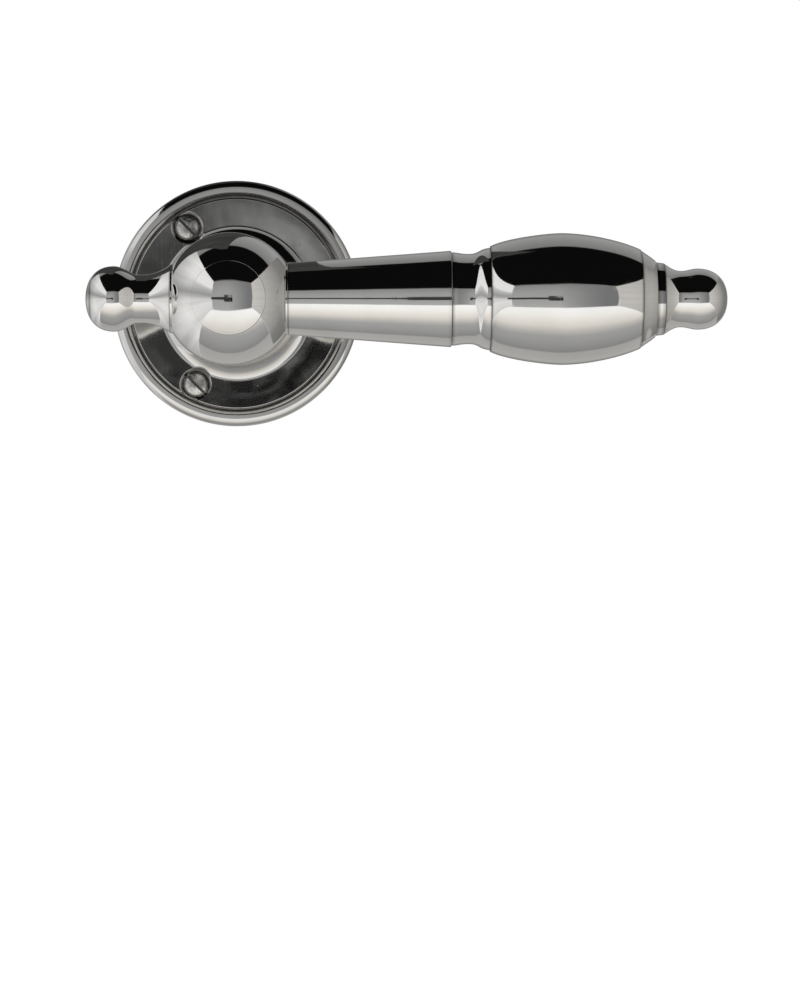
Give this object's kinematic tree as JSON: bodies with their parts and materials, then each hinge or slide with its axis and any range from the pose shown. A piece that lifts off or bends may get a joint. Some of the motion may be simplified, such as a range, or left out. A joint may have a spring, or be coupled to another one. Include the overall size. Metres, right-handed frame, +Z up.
{
  "type": "door lever handle",
  "caption": "Turned door lever handle with a ball hub, swelling grip, end knobs and baluster neck on a round screwed rose, with a square spindle.",
  "frame": {"origin": "centre of the rose's back face, on the spindle's axis, in the plane of the door's face", "axes": "+X along the lever at rest, -Y out of the door into the room, +Y into the door along the spindle, +Z up"},
  "size_m": [0.1341, 0.1025, 0.055],
  "materials": {
    "polished_nickel": "polished nickel plate on solid brass",
    "screw_nickel": "nickel plated steel, lightly worn slots",
    "plain_steel": "bright zinc plated steel",
    "spring_steel": "oiled spring steel",
    "black_steel": "black oxide",
    "bush_nylon": "natural nylon"
  },
  "bodies": {
    "rose_set": {"rose": "polished_nickel", "rose_bush": "bush_nylon", "fixing_screw_1": "screw_nickel", "fixing_screw_2": "screw_nickel", "fixing_screw_3": "screw_nickel", "return_spring": "spring_steel"},
    "lever_set": {"neck": "polished_nickel", "stop_plate": "plain_steel", "shim_washer": "plain_steel", "retaining_ring": "spring_steel", "spindle": "plain_steel", "grub_screw": "black_steel", "hub_dowel": "plain_steel", "hub_ball": "polished_nickel", "hub_cap": "polished_nickel", "tail_knob": "polished_nickel", "tie_rod": "plain_steel", "grip_taper": "polished_nickel", "cove_ring": "polished_nickel", "grip_barrel": "polished_nickel", "end_collar": "polished_nickel", "tip_finial": "polished_nickel"}
  },
  "joints": [
    {"name": "lever_turn", "type": "hinge", "parent": "rose_set", "child": "lever_set", "pos_m": [0, 0, 0], "axis": [0, 1, 0], "range_deg": [-45, 45], "stiffness_Nm_per_rad": 1, "springref_deg": -8.02, "deforming": ["return_spring"]}
  ]
}
